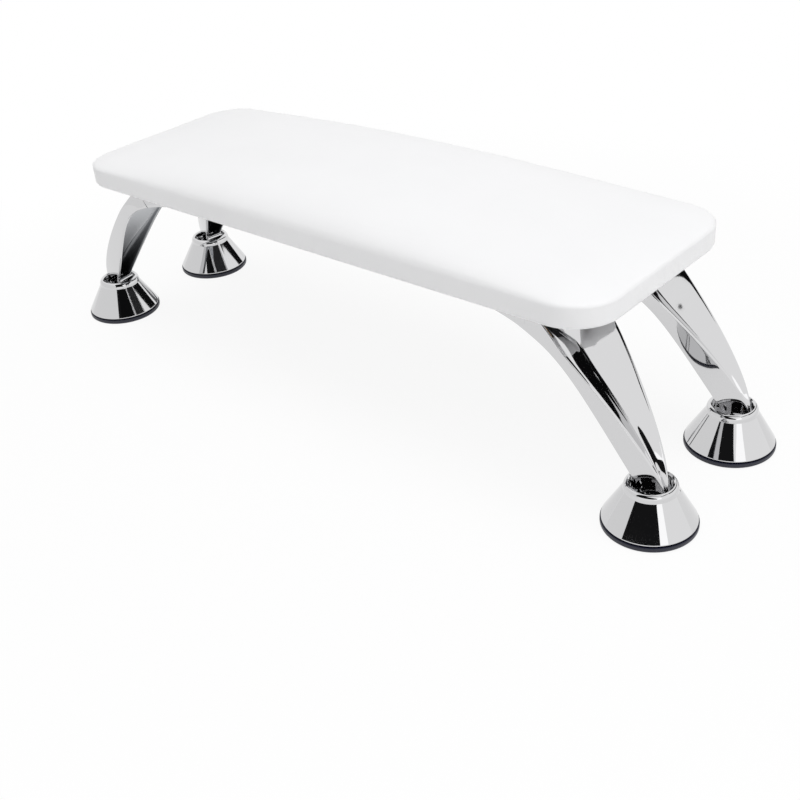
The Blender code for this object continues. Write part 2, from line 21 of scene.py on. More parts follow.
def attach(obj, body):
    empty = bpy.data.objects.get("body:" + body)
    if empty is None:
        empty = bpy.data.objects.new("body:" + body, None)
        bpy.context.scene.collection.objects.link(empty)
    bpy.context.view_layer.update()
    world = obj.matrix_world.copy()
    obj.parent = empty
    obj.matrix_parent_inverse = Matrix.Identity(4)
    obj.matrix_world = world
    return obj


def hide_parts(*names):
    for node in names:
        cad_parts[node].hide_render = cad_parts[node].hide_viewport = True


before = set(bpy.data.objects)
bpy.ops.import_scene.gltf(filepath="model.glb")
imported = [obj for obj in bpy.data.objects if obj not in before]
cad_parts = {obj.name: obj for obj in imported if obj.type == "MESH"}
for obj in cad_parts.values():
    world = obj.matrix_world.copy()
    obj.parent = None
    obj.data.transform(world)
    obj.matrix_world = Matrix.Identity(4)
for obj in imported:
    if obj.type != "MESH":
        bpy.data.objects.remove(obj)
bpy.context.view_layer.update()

LOG = logging.getLogger("hand_rest")

MM = 0.001


class Corner(Enum):
    """The four corners of the rest, each as the signs of its X and Y."""

    FRONT_RIGHT = (1, -1)
    BACK_RIGHT = (1, 1)
    FRONT_LEFT = (-1, -1)
    BACK_LEFT = (-1, 1)

    @property
    def label(self) -> str:
        """The corner's name as the CAD nodes spell it."""
        return self.name.lower()


class CutKind(Enum):
    """What a helper shape does to a piece, by the Boolean modifier's own names."""

    TAKE_OUT = "DIFFERENCE"
    JOIN = "UNION"


def share_between(value: float, start: float, end: float) -> float:
    """How far a value has gone from start to end, held between 0 and 1.

    Args:
        value: the value.
        start: where the share is 0.
        end: where the share is 1.

    Returns:
        The share.
    """
    return min(1.0, max(0.0, (value - start) / (end - start)))


def blend(start: float, end: float, share: float) -> float:
    """Value that lies a share of the way from start to end.

    Args:
        start: the value at a share of 0.
        end: the value at a share of 1.
        share: the share.

    Returns:
        The value between.
    """
    return start + (end - start) * share


def linear(hex_colour: str) -> tuple[float, float, float, float]:
    """Turn an sRGB hex colour into the linear values that a shader socket takes.

    Args:
        hex_colour: six hex digits after a hash, such as "#f2f1ef".

    Returns:
        Linear red, green and blue, and an alpha of 1.
    """
    digits = hex_colour.lstrip("#")
    channels = []
    for start in (0, 2, 4):
        value = int(digits[start:start + 2], 16) / 255.0
        if value <= 0.04045:
            channels.append(value / 12.92)
        else:
            channels.append(((value + 0.055) / 1.055) ** 2.4)
    return (channels[0], channels[1], channels[2], 1.0)


def add_node(tree: bpy.types.NodeTree, kind: str,
             inputs: dict[str | int, object] | None = None,
             **settings: object) -> bpy.types.Node:
    """Add one node to a tree, with its settings and its inputs.

    Args:
        tree: the node tree to add to.
        kind: the node's type name, such as "ShaderNodeTexNoise".
        inputs: input name or number to a value, or to the socket that feeds it.
        settings: the node's own properties.

    Returns:
        The new node.
    """
    node = tree.nodes.new(kind)
    for name, value in settings.items():
        setattr(node, name, value)
    for name, value in (inputs or {}).items():
        if isinstance(value, bpy.types.NodeSocket):
            tree.links.new(value, node.inputs[name])
        else:
            node.inputs[name].default_value = value
    return node


def blank_material(name: str) -> tuple[bpy.types.Material, bpy.types.NodeTree]:
    """Make a material whose node tree is empty.

    Args:
        name: the material's name.

    Returns:
        The material and its node tree.
    """
    material = bpy.data.materials.new(name)
    material.use_nodes = True
    material.node_tree.nodes.clear()
    return material, material.node_tree


def finish_surface(tree: bpy.types.NodeTree, shader: bpy.types.Node) -> None:
    """Feed a shader into a new surface output.

    Args:
        tree: the material's node tree.
        shader: the shader node that gives the surface.
    """
    add_node(tree, "ShaderNodeOutputMaterial", {"Surface": shader.outputs[0]})


@dataclass(frozen=True)
class SyntheticLeather:
    """PU-coated fabric, calendered with a fine pebble grain.

    The coating is a dull plastic film, so highlights are broad and weak. The grain cells
    are a little over half a millimetre and only just break up the sheen. Pulling the
    fabric over the foam leaves faint creases along the pad and hardly visible clouds.
    """

    colour: str = "#f6f6f7"
    cloud_colour: str = "#f2f2f3"
    roughness: float = 0.46
    grain_mm: float = 0.65
    grain_height_mm: float = 0.022
    cloud_mm: float = 45.0
    crease_mm: float = 7.0
    crease_height_mm: float = 0.20

    def make(self) -> bpy.types.Material:
        """Build the leather's material."""
        material, tree = blank_material("pu_leather_white")
        place = add_node(tree, "ShaderNodeTexCoord").outputs["Object"]
        grain = add_node(tree, "ShaderNodeTexVoronoi",
                         {"Vector": place, "Scale": 1.0 / (self.grain_mm * MM)},
                         feature="SMOOTH_F1")
        clouds = add_node(tree, "ShaderNodeTexNoise",
                          {"Vector": place, "Scale": 1.0 / (self.cloud_mm * MM),
                           "Detail": 3.0})
        colour = add_node(tree, "ShaderNodeMix",
                          {"Factor": clouds.outputs["Fac"], "A": linear(self.colour),
                           "B": linear(self.cloud_colour)}, data_type="RGBA")
        along = add_node(tree, "ShaderNodeMapping",
                         {"Vector": place, "Rotation": (0.0, 0.0, 0.12),
                          "Scale": (0.28, 1.0, 1.0)})
        creases = add_node(tree, "ShaderNodeTexNoise",
                           {"Vector": along.outputs["Vector"],
                            "Scale": 1.0 / (self.crease_mm * MM), "Detail": 3.0,
                            "Distortion": 0.6})
        folds = add_node(tree, "ShaderNodeBump",
                         {"Height": creases.outputs["Fac"], "Strength": 0.6,
                          "Distance": self.crease_height_mm * MM})
        bump = add_node(tree, "ShaderNodeBump",
                        {"Height": grain.outputs["Distance"], "Strength": 0.5,
                         "Distance": self.grain_height_mm * MM,
                         "Normal": folds.outputs["Normal"]})
        shader = add_node(tree, "ShaderNodeBsdfPrincipled",
                          {"Base Color": colour.outputs["Result"],
                           "Roughness": self.roughness, "IOR": 1.46,
                           "Normal": bump.outputs["Normal"]})
        finish_surface(tree, shader)
        return material


@dataclass(frozen=True)
class MirrorChrome:
    """Chrome plated over a polished zinc casting.

    Reflections are mirror sharp and hardly tinted. The polished casting under the
    plating waves by a few microns over centimetres, which bends long reflections.
    """

    name: str
    colour: str = "#d0d0d1"
    roughness: float = 0.035
    wave_mm: float = 14.0
    wave_height_mm: float = 0.030

    def make(self) -> bpy.types.Material:
        """Build the chrome's material."""
        material, tree = blank_material(self.name)
        place = add_node(tree, "ShaderNodeTexCoord").outputs["Object"]
        wave = add_node(tree, "ShaderNodeTexNoise",
                        {"Vector": place, "Scale": 1.0 / (self.wave_mm * MM),
                         "Detail": 1.0})
        bump = add_node(tree, "ShaderNodeBump",
                        {"Height": wave.outputs["Fac"], "Strength": 1.0,
                         "Distance": self.wave_height_mm * MM})
        shader = add_node(tree, "ShaderNodeBsdfPrincipled",
                          {"Base Color": linear(self.colour), "Metallic": 1.0,
                           "Roughness": self.roughness, "Normal": bump.outputs["Normal"]})
        finish_surface(tree, shader)
        return material


@dataclass(frozen=True)
class UnpolishedChrome:
    """Chrome over the as-cast inner side of a leg, where the polishing wheel can't reach.

    The surface keeps the mould's fine roughness, so it only shows blurred reflections. Its
    colour carries painted shade: it darkens from the top towards the foot, deep in the hollow.
    """

    colour: str = "#c4c6c9"
    # painted shade: the dark colour deep in the hollow, towards the foot
    painted_shade_colour: str = "#3c3d40"
    roughness: float = 0.30
    top_mm: float = 100.0
    deep_mm: float = 34.0
    grain_mm: float = 0.9

    def make(self) -> bpy.types.Material:
        """Build the unpolished chrome's material."""
        material, tree = blank_material("chrome_as_cast_hollow_painted_shade")
        place = add_node(tree, "ShaderNodeTexCoord").outputs["Object"]
        height = add_node(tree, "ShaderNodeSeparateXYZ", {"Vector": place}).outputs["Z"]
        # painted shade: the colour goes from the plain colour at top_mm to the dark shade
        # colour at deep_mm, towards the foot
        depth = add_node(tree, "ShaderNodeMapRange",
                         {"Value": height, "From Min": self.deep_mm * MM,
                          "From Max": self.top_mm * MM})
        colour = add_node(tree, "ShaderNodeMix",
                          {"Factor": depth.outputs["Result"], "A": linear(self.painted_shade_colour),
                           "B": linear(self.colour)}, data_type="RGBA")
        grain = add_node(tree, "ShaderNodeTexNoise",
                         {"Vector": place, "Scale": 1.0 / (self.grain_mm * MM),
                          "Detail": 3.0})
        bump = add_node(tree, "ShaderNodeBump",
                        {"Height": grain.outputs["Fac"], "Strength": 0.5,
                         "Distance": 0.02 * MM})
        shader = add_node(tree, "ShaderNodeBsdfPrincipled",
                          {"Base Color": colour.outputs["Result"], "Metallic": 1.0,
                           "Roughness": self.roughness, "Normal": bump.outputs["Normal"]})
        finish_surface(tree, shader)
        return material


@dataclass(frozen=True)
class MouldedRubber:
    """Compression-moulded rubber, blue-black, with a satin skin and a fine mould texture."""

    colour: str = "#0b0e24"
    roughness: float = 0.38
    texture_mm: float = 0.35

    def make(self) -> bpy.types.Material:
        """Build the rubber's material."""
        material, tree = blank_material("moulded_rubber_blue_black")
        place = add_node(tree, "ShaderNodeTexCoord").outputs["Object"]
        speckle = add_node(tree, "ShaderNodeTexNoise",
                           {"Vector": place, "Scale": 1.0 / (self.texture_mm * MM),
                            "Detail": 2.0})
        bump = add_node(tree, "ShaderNodeBump",
                        {"Height": speckle.outputs["Fac"], "Strength": 0.4,
                         "Distance": 0.02 * MM})
        shader = add_node(tree, "ShaderNodeBsdfPrincipled",
                          {"Base Color": linear(self.colour), "Roughness": self.roughness,
                           "IOR": 1.52, "Normal": bump.outputs["Normal"]})
        finish_surface(tree, shader)
        return material


@dataclass(frozen=True)
class ZincPlatedSteel:
    """Bright zinc plating on pressed steel screws: grey, a little cloudy, half bright."""

    colour: str = "#b9bcc2"
    dull_colour: str = "#8f939b"
    roughness: float = 0.26
    cloud_mm: float = 1.6

    def make(self) -> bpy.types.Material:
        """Build the zinc's material."""
        material, tree = blank_material("zinc_plated_steel")
        place = add_node(tree, "ShaderNodeTexCoord").outputs["Object"]
        clouds = add_node(tree, "ShaderNodeTexNoise",
                          {"Vector": place, "Scale": 1.0 / (self.cloud_mm * MM),
                           "Detail": 4.0})
        colour = add_node(tree, "ShaderNodeMix",
                          {"Factor": clouds.outputs["Fac"], "A": linear(self.colour),
                           "B": linear(self.dull_colour)}, data_type="RGBA")
        shader = add_node(tree, "ShaderNodeBsdfPrincipled",
                          {"Base Color": colour.outputs["Result"], "Metallic": 1.0,
                           "Roughness": self.roughness})
        finish_surface(tree, shader)
        return material


@dataclass(frozen=True)
class NonWovenCloth:
    """Black spun-bonded polypropylene, pressed with a grid of small bond points."""

    colour: str = "#1a1a1c"
    point_colour: str = "#26262a"
    point_mm: float = 1.3
    fibre_mm: float = 0.4

    def make(self) -> bpy.types.Material:
        """Build the lining cloth's material."""
        material, tree = blank_material("spun_bonded_lining_black")
        place = add_node(tree, "ShaderNodeTexCoord").outputs["Object"]
        points = add_node(tree, "ShaderNodeTexVoronoi",
                          {"Vector": place, "Scale": 1.0 / (self.point_mm * MM),
                           "Randomness": 0.15}, feature="F1")
        spots = add_node(tree, "ShaderNodeMapRange",
                         {"Value": points.outputs["Distance"], "From Min": 0.22,
                          "From Max": 0.34, "To Min": 1.0, "To Max": 0.0})
        fibres = add_node(tree, "ShaderNodeTexNoise",
                          {"Vector": place, "Scale": 1.0 / (self.fibre_mm * MM),
                           "Detail": 5.0})
        colour = add_node(tree, "ShaderNodeMix",
                          {"Factor": spots.outputs["Result"], "A": linear(self.colour),
                           "B": linear(self.point_colour)}, data_type="RGBA")
        bump = add_node(tree, "ShaderNodeBump",
                        {"Height": fibres.outputs["Fac"], "Strength": 0.6,
                         "Distance": 0.08 * MM})
        shader = add_node(tree, "ShaderNodeBsdfPrincipled",
                          {"Base Color": colour.outputs["Result"], "Roughness": 0.9,
                           "Normal": bump.outputs["Normal"]})
        finish_surface(tree, shader)
        return material


@dataclass(frozen=True)
class BirchPlywood:
    """Rotary-cut birch plywood: pale brown, with grain that wanders along the board."""

    light: str = "#c9a878"
    dark: str = "#a67f50"
    grain_mm: float = 3.0

    def make(self) -> bpy.types.Material:
        """Build the plywood's material."""
        material, tree = blank_material("birch_plywood")
        place = add_node(tree, "ShaderNodeTexCoord").outputs["Object"]
        along = add_node(tree, "ShaderNodeMapping",
                         {"Vector": place, "Scale": (0.08, 1.0, 1.0)})
        grain = add_node(tree, "ShaderNodeTexNoise",
                         {"Vector": along.outputs["Vector"],
                          "Scale": 1.0 / (self.grain_mm * MM), "Detail": 6.0})
        colour = add_node(tree, "ShaderNodeMix",
                          {"Factor": grain.outputs["Fac"], "A": linear(self.light),
                           "B": linear(self.dark)}, data_type="RGBA")
        shader = add_node(tree, "ShaderNodeBsdfPrincipled",
                          {"Base Color": colour.outputs["Result"], "Roughness": 0.7})
        finish_surface(tree, shader)
        return material


@dataclass(frozen=True)
class PolyurethaneFoam:
    """Open-cell polyurethane foam: cream, dull, with pores of half a millimetre."""

    colour: str = "#eadfb4"
    pore_mm: float = 0.5

    def make(self) -> bpy.types.Material:
        """Build the foam's material."""
        material, tree = blank_material("polyurethane_foam")
        place = add_node(tree, "ShaderNodeTexCoord").outputs["Object"]
        pores = add_node(tree, "ShaderNodeTexVoronoi",
                         {"Vector": place, "Scale": 1.0 / (self.pore_mm * MM)})
        bump = add_node(tree, "ShaderNodeBump",
                        {"Height": pores.outputs["Distance"], "Strength": 0.8,
                         "Distance": 0.2 * MM})
        shader = add_node(tree, "ShaderNodeBsdfPrincipled",
                          {"Base Color": linear(self.colour), "Roughness": 0.95,
                           "Normal": bump.outputs["Normal"]})
        finish_surface(tree, shader)
        return material


def add_piece(name: str, bm: bmesh.types.BMesh, material: bpy.types.Material,
              sharp_degrees: float = 40.0) -> bpy.types.Object:
    """Turn a bmesh into a smooth-shaded object at the origin.

    Args:
        name: the piece's name.
        bm: the shape, which is freed.
        material: its finish.
        sharp_degrees: edges that bend more than this stay sharp.

    Returns:
        The new object.
    """
    mesh = bpy.data.meshes.new(name)
    bm.to_mesh(mesh)
    bm.free()
    mesh.materials.append(material)
    mesh.shade_smooth()
    mesh.set_sharp_from_angle(angle=math.radians(sharp_degrees))
    piece = bpy.data.objects.new(name, mesh)
    bpy.context.scene.collection.objects.link(piece)
    return piece


def mount_piece(piece: bpy.types.Object, slot: str, *nodes: str) -> None:
    """Tie a finished piece to the frame and hide the CAD nodes that it replaces.

    Args:
        piece: the piece, in place.
        slot: not used.
        nodes: the CAD nodes that it replaces.
    """
    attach(piece, "root")
    if nodes:
        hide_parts(*nodes)
    LOG.info("%s: %d faces", piece.name, len(piece.data.polygons))


def baked(piece: bpy.types.Object) -> None:
    """Apply a piece's modifiers to its mesh.

    Args:
        piece: the piece whose modifiers become plain faces.
    """
    depsgraph = bpy.context.evaluated_depsgraph_get()
    mesh = bpy.data.meshes.new_from_object(piece.evaluated_get(depsgraph))
    piece.modifiers.clear()
    piece.data = mesh


def keep_flats_flat(piece: bpy.types.Object) -> None:
    """Weigh corner normals by face area, so that wide faces reflect as flat ones do.

    Args:
        piece: the piece that gets the modifier.
    """
    modifier = piece.modifiers.new("flat_faces", "WEIGHTED_NORMAL")
    modifier.keep_sharp = True
    modifier.weight = 60


def spun(profile: list[tuple[float, float, float]], steps: int) -> bmesh.types.BMesh:
    """Turn a closed profile about Z and round the rings that ask for it.

    Args:
        profile: (radius, height, rounding) of each corner. A profile that starts and
            ends on the axis is closed there, and any other is closed on itself.
        steps: faces round the full turn.

    Returns:
        The turned shape.
    """
    bm = bmesh.new()
    corners = [bm.verts.new((radius, 0.0, height)) for radius, height, _ in profile]
    edges = [bm.edges.new(pair) for pair in zip(corners, corners[1:])]
    if profile[0][0] > 0.0:
        edges.append(bm.edges.new((corners[-1], corners[0])))
    bmesh.ops.spin(bm, geom=corners + edges, axis=(0.0, 0.0, 1.0), cent=(0.0, 0.0, 0.0),
                   angle=math.tau, steps=steps, use_merge=True)
    bmesh.ops.remove_doubles(bm, verts=bm.verts, dist=0.002 * MM)
    bmesh.ops.recalc_face_normals(bm, faces=bm.faces)
    for radius, height, rounding in profile:
        if rounding <= 0.0:
            continue
        ring = [edge for edge in bm.edges
                if all(abs(math.hypot(v.co.x, v.co.y) - radius) < 0.01 * MM
                       and abs(v.co.z - height) < 0.01 * MM for v in edge.verts)]
        bmesh.ops.bevel(bm, geom=ring, offset=rounding, offset_type="OFFSET",
                        segments=3, profile=0.5, affect="EDGES", material=-1,
                        clamp_overlap=True)
    return bm


def cut(piece: bpy.types.Object, cutters: list[bmesh.types.BMesh],
        kind: CutKind = CutKind.TAKE_OUT) -> None:
    """Join shapes to a piece or take them out of it, for good.

    Args:
        piece: the piece to change.
        cutters: the shapes, which are freed.
        kind: whether they are taken out or joined.
    """
    helpers = []
    for shape in cutters:
        mesh = bpy.data.meshes.new("cutter")
        shape.to_mesh(mesh)
        shape.free()
        helper = bpy.data.objects.new("cutter", mesh)
        bpy.context.scene.collection.objects.link(helper)
        helpers.append(helper)
        modifier = piece.modifiers.new("cut", "BOOLEAN")
        modifier.operation = kind.value
        modifier.object = helper
    baked(piece)
    for helper in helpers:
        bpy.data.objects.remove(helper, do_unlink=True)


def upright_rod(radius: float, low: float, high: float, along: float = 0.0,
                across: float = 0.0, steps: int = 40) -> bmesh.types.BMesh:
    """A round rod along Z, for holes and bosses.

    Args:
        radius: the rod's radius.
        low: height of its lower end.
        high: height of its upper end.
        along: X of its axis.
        across: Y of its axis.
        steps: faces round it.

    Returns:
        The rod.
    """
    bm = bmesh.new()
    bmesh.ops.create_cone(bm, cap_ends=True, segments=steps, radius1=radius,
                          radius2=radius, depth=high - low)
    bmesh.ops.translate(bm, vec=(along, across, (low + high) / 2.0), verts=bm.verts)
    return bm


def cross_recess(head_radius: float, depth: float, face: float) -> list[bmesh.types.BMesh]:
    """The two tapered bars that cut a cross recess up into a screw head.

    Args:
        head_radius: radius of the screw's head.
        depth: how deep the recess goes.
        face: height of the head's outer face.

    Returns:
        One shape for each bar.
    """
    bars = []
    for quarter in (0.0, math.pi / 2.0):
        bm = bmesh.new()
        bmesh.ops.create_cube(bm, size=1.0)
        bmesh.ops.scale(bm, vec=(head_radius * 1.15, head_radius * 0.36, depth * 2.0),
                        verts=bm.verts)
        roof = [vert for vert in bm.verts if vert.co.z > 0.0]
        bmesh.ops.scale(bm, vec=(0.45, 0.7, 1.0), verts=roof)
        bmesh.ops.rotate(bm, cent=(0.0, 0.0, 0.0), verts=bm.verts,
                         matrix=Matrix.Rotation(quarter, 3, "Z"))
        bmesh.ops.translate(bm, vec=(0.0, 0.0, face), verts=bm.verts)
        bars.append(bm)
    return bars


@dataclass
class Pad:
    """The upholstered pad: leather over foam over board, with a lining underneath."""

    length: float = 400.0 * MM
    width: float = 140.0 * MM
    corner_radius: float = 26.0 * MM
    underside: float = 113.0 * MM
    shoulder: float = 124.8 * MM
    crown: float = 15.0 * MM
    crown_end_drop: float = 0.82
    shoulder_width: float = 34.0 * MM
    skin: float = 1.0 * MM
    hem: float = 18.0 * MM
    bottom_round: float = 1.6 * MM
    fold_inset: float = 9.0 * MM
    fold_spread: float = 8.0 * MM
    fold_height: float = 0.22 * MM
    fold_pitch: tuple[float, float] = (42.0, 95.0)
    broad_height: float = 0.25 * MM
    broad_pitch: tuple[float, float] = (14.0, 22.0)
    broad_inset: float = 20.0 * MM
    columns: int = 120
    rows: int = 48

    def edge_distance(self, x: float, y: float) -> float:
        """How far a point lies inside the pad's outline.

        Args:
            x: place along the pad.
            y: place across the pad.

        Returns:
            The distance to the nearest point of the outline.
        """
        over_x = abs(x) - (self.length / 2.0 - self.corner_radius)
        over_y = abs(y) - (self.width / 2.0 - self.corner_radius)
        outside = math.hypot(max(over_x, 0.0), max(over_y, 0.0))
        return self.corner_radius - outside - min(max(over_x, over_y), 0.0)

    def rounded(self, x: float, y: float) -> tuple[float, float]:
        """Move a point of the plain rectangle so that the corners become round.

        Args:
            x: place along the rectangle.
            y: place across the rectangle.

        Returns:
            The moved place.
        """
        radius = self.corner_radius
        over_x = abs(x) - (self.length / 2.0 - radius)
        over_y = abs(y) - (self.width / 2.0 - radius)
        if over_x <= 0.0 or over_y <= 0.0:
            return x, y
        pull = max(over_x, over_y) / math.hypot(over_x, over_y)
        return (math.copysign(self.length / 2.0 - radius + over_x * pull, x),
                math.copysign(self.width / 2.0 - radius + over_y * pull, y))

    def top_height(self, x: float, y: float) -> float:
        """Height of the crowned top at a place.

        Args:
            x: place along the pad.
            y: place across the pad.

        Returns:
            The height above the floor.
        """
        along = x / (self.length / 2.0)
        crown = self.crown * (1.0 - self.crown_end_drop * along * along)
        share = min(1.0, max(0.0, self.edge_distance(x, y)) / self.shoulder_width)
        return self.shoulder + crown * math.sqrt(1.0 - (1.0 - share) ** 2)

    def wrinkle(self, x: float, y: float) -> float:
        """Soft unevenness of the leather where it turns over the foam's edge.

        Args:
            x: place along the pad.
            y: place across the pad.

        Returns:
            How far the surface rises there.
        """
        inset = self.edge_distance(x, y)
        near_edge = math.exp(-((inset - self.fold_inset) / self.fold_spread) ** 2)
        folds = noise.noise(Vector((x * self.fold_pitch[0], y * self.fold_pitch[1], 1.7)))
        broad = noise.noise(Vector((x * self.broad_pitch[0], y * self.broad_pitch[1], 5.3)))
        return (self.fold_height * folds * near_edge
                + self.broad_height * broad * min(1.0, inset / self.broad_inset))

    def build_cover(self) -> bmesh.types.BMesh:
        """Model the leather skin: top, edge band and the hem under the board.

        The grid's lines are drawn towards the pad's sides, where the crown is steep.
        """
        bm = bmesh.new()
        bmesh.ops.create_grid(bm, x_segments=self.columns, y_segments=self.rows, size=1.0)
        for vert in bm.verts:
            u = math.sin(vert.co.x * math.pi / 2.0) * 0.6 + vert.co.x * 0.4
            v = math.sin(vert.co.y * math.pi / 2.0) * 0.8 + vert.co.y * 0.2
            x, y = self.rounded(u * self.length / 2.0, v * self.width / 2.0)
            vert.co = (x, y, self.top_height(x, y) + self.wrinkle(x, y))
        border = [edge for edge in bm.edges if edge.is_boundary]
        steps = ((0.0, self.shoulder - 0.8 * MM), (0.0, (self.shoulder + self.underside) / 2),
                 (0.0, self.underside + self.bottom_round + 0.6 * MM),
                 (0.0, self.underside + self.bottom_round),
                 (0.3 * self.bottom_round, self.underside + 0.3 * self.bottom_round),
                 (self.bottom_round, self.underside), (self.bottom_round * 2, self.underside),
                 (self.hem, self.underside))
        for inset, height in steps:
            grown = bmesh.ops.extrude_edge_only(bm, edges=border)["geom"]
            border = [item for item in grown if isinstance(item, bmesh.types.BMEdge)]
            for vert in {vert for edge in border for vert in edge.verts}:
                x, y = self.outline_inset(vert.co.x, vert.co.y, inset)
                vert.co = (x, y, height)
        bmesh.ops.recalc_face_normals(bm, faces=bm.faces)
        return bm

    def outline_inset(self, x: float, y: float, inset: float) -> tuple[float, float]:
        """Draw a point of the outline straight in towards the middle of the pad.

        Args:
            x: the point's place along the pad.
            y: the point's place across the pad.
            inset: how far in it should lie.

        Returns:
            The place of the point on the inner outline.
        """
        move = inset - self.edge_distance(x, y)
        if abs(move) < 0.001 * MM:
            return x, y
        radius = self.corner_radius
        corner_x = max(abs(x) - (self.length / 2.0 - radius), 0.0)
        corner_y = max(abs(y) - (self.width / 2.0 - radius), 0.0)
        if corner_x == 0.0 and corner_y == 0.0:
            return x, y
        reach = math.hypot(corner_x, corner_y)
        left = max(reach - move, 0.0)
        return (x - math.copysign(corner_x * (1.0 - left / reach), x),
                y - math.copysign(corner_y * (1.0 - left / reach), y))

    def dress(self) -> None:
        """Build the pad's pieces and finish the CAD nodes inside it."""
        cover = add_piece("leather_cover", self.build_cover(), SyntheticLeather().make(), 80.0)
        thickness = cover.modifiers.new("skin", "SOLIDIFY")
        thickness.thickness = self.skin
        thickness.offset = -1.0
        baked(cover)
        mount_piece(cover, "cover_leather", "pad_cover")
        for node, material in (("pad_lining", NonWovenCloth().make()),
                               ("pad_board", BirchPlywood().make()),
                               ("pad_foam", PolyurethaneFoam().make())):
            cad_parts[node].data.materials.clear()
            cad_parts[node].data.materials.append(material)


@dataclass
class Section:
    """One cross-section of a leg, in the plane that holds its ridges and free edges."""

    ridge: Vector
    skirt: Vector
    ridge_half: float
    skirt_half: float
    groove: float
    floor_half: float
    opened: float
    hollow: bool


@dataclass(frozen=True)
class Widening:
    """Half width along one of the leg's edges, which grows from the foot upwards."""

    end_half: float
    broad_drop: float
    broad_half: float
    top_half: float


@dataclass
class Leg:
    """One die-cast leg: plate, grooved arm that is hollow inside, and the boss below.

    Local X runs from the foot towards the plate, and local Z is up.
    """

    INNER_POINTS: ClassVar[int] = 4

    corner: Corner
    foot_x: float = 221.2 * MM
    foot_y: float = 44.2 * MM
    splay: float = math.radians(7.9)
    wall: float = 2.4 * MM
    plate_inner_end: float = 112.0 * MM
    plate_outer_end: float = 64.0 * MM
    rim_depth: float = 1.0 * MM
    rim_width: float = 1.3 * MM
    inner_half: float = 22.0 * MM
    outer_half: float = 21.5 * MM
    skirt_depth: float = 6.5 * MM
    end_wall: float = 2.0 * MM
    top: float = 112.7 * MM
    end_height: float = 21.2 * MM
    outer_reach: float = 10.0 * MM
    inner_reach: float = 2.8 * MM
    ridge_widening: Widening = Widening(0.8 * MM, 19.2 * MM, 21.0 * MM, 21.5 * MM)
    skirt_widening: Widening = Widening(5.4 * MM, 15.7 * MM, 22.3 * MM, 22.3 * MM)
    shoulder_pull: float = 5.0 * MM
    shin_pull: float = 26.2 * MM
    hollow_pull: float = 70.0 * MM
    hollow_lean: float = math.radians(6.5)
    calf_pull: float = 89.3 * MM
    calf_lean: float = math.radians(31.2)
    groove_depth: float = 9.2 * MM
    groove_least: float = 1.3 * MM
    groove_per_width: float = 0.42
    narrows_from: float = 0.12
    narrows_over: float = 0.21
    knee_at: float = 0.30
    knee_depth: float = 0.60
    valley_half: float = 0.3 * MM
    steepest: float = math.radians(60.0)
    bulge: float = 0.25 * MM
    bulge_depth: float = 20.0 * MM
    flare: float = 0.4 * MM
    edge_round: float = 0.3 * MM
    boss_radius: float = 4.5 * MM
    boss_span: tuple[float, float] = (20.8 * MM, 29.3 * MM)
    boss_bore_radius: float = 2.8 * MM
    boss_bore_span: tuple[float, float] = (20.0 * MM, 28.0 * MM)
    knuckle_radius: float = 3.4 * MM
    knuckle_half_length: float = 6.2 * MM
    knuckle_place: tuple[float, float] = (4.8 * MM, 25.6 * MM)
    screw_hole_radius: float = 2.25 * MM
    plate_bore_radius: float = 4.0 * MM
    plate_bore_depth: float = 8.0 * MM
    screw_places: list[tuple[float, float]] = field(default_factory=lambda: [
        (105.0 * MM, 13.0 * MM), (105.0 * MM, -13.0 * MM),
        (71.0 * MM, 8.5 * MM), (71.0 * MM, -8.5 * MM)])
    shin_steps: int = 30
    smoothing_levels: int = 2

    def placement(self) -> Matrix:
        """World matrix of the leg's own frame."""
        side_x, side_y = self.corner.value
        turn = math.pi + side_y * self.splay if side_x > 0 else -side_y * self.splay
        place = Matrix.Translation((side_x * self.foot_x, side_y * self.foot_y, 0.0))
        return place @ Matrix.Rotation(turn, 4, "Z")

    @staticmethod
    def curve_point(handles: tuple[Vector, Vector, Vector, Vector], share: float) -> Vector:
        """Point of a cubic curve.

        Args:
            handles: the curve's ends and handles, in order.
            share: 0 at its start to 1 at its end.

        Returns:
            The point, as (along, height).
        """
        a, b, c, d = handles
        rest = 1.0 - share
        return (a * rest ** 3 + b * 3.0 * rest ** 2 * share
                + c * 3.0 * rest * share ** 2 + d * share ** 3)

    @staticmethod
    def curve_direction(handles: tuple[Vector, Vector, Vector, Vector],
                        share: float) -> Vector:
        """Direction in which a cubic curve runs.

        Args:
            handles: the curve's ends and handles, in order.
            share: 0 at its start to 1 at its end.

        Returns:
            The direction, one long.
        """
        a, b, c, d = handles
        rest = 1.0 - share
        slope = (b - a) * rest ** 2 + (c - b) * 2.0 * rest * share + (d - c) * share ** 2
        return slope.normalized()

    def ridge_handles(self) -> tuple[Vector, Vector, Vector, Vector]:
        """The outer ridges' curve, from the plate's outer end to the foot."""
        start = Vector((self.plate_outer_end, self.top))
        end = Vector((-self.outer_reach, self.end_height))
        return (start, start - Vector((self.shoulder_pull, 0.0)),
                end + Vector((0.0, self.shin_pull)), end)

    def skirt_handles(self) -> tuple[Vector, Vector, Vector, Vector]:
        """The free edges' curve, from the plate's inner end to the foot."""
        start = Vector((self.plate_inner_end, self.top - self.skirt_depth))
        fall = Vector((math.cos(self.hollow_lean), math.sin(self.hollow_lean)))
        end = Vector((self.inner_reach, self.end_height))
        lean = Vector((math.sin(self.calf_lean), math.cos(self.calf_lean)))
        return start, start - fall * self.hollow_pull, end + lean * self.calf_pull, end

    def skirt_across(self, ridge: Vector, direction: Vector) -> Vector:
        """Point of the free edges' curve square across the leg from a ridge point.

        Args:
            ridge: the ridge point.
            direction: the way the ridge runs there.

        Returns:
            The point, as (along, height).
        """
        low, high = 0.0, 1.0
        for _ in range(30):
            middle = (low + high) / 2.0
            point = self.curve_point(self.skirt_handles(), middle)
            if (point - ridge).dot(direction) < 0.0:
                low = middle
            else:
                high = middle
        return self.curve_point(self.skirt_handles(), (low + high) / 2.0)

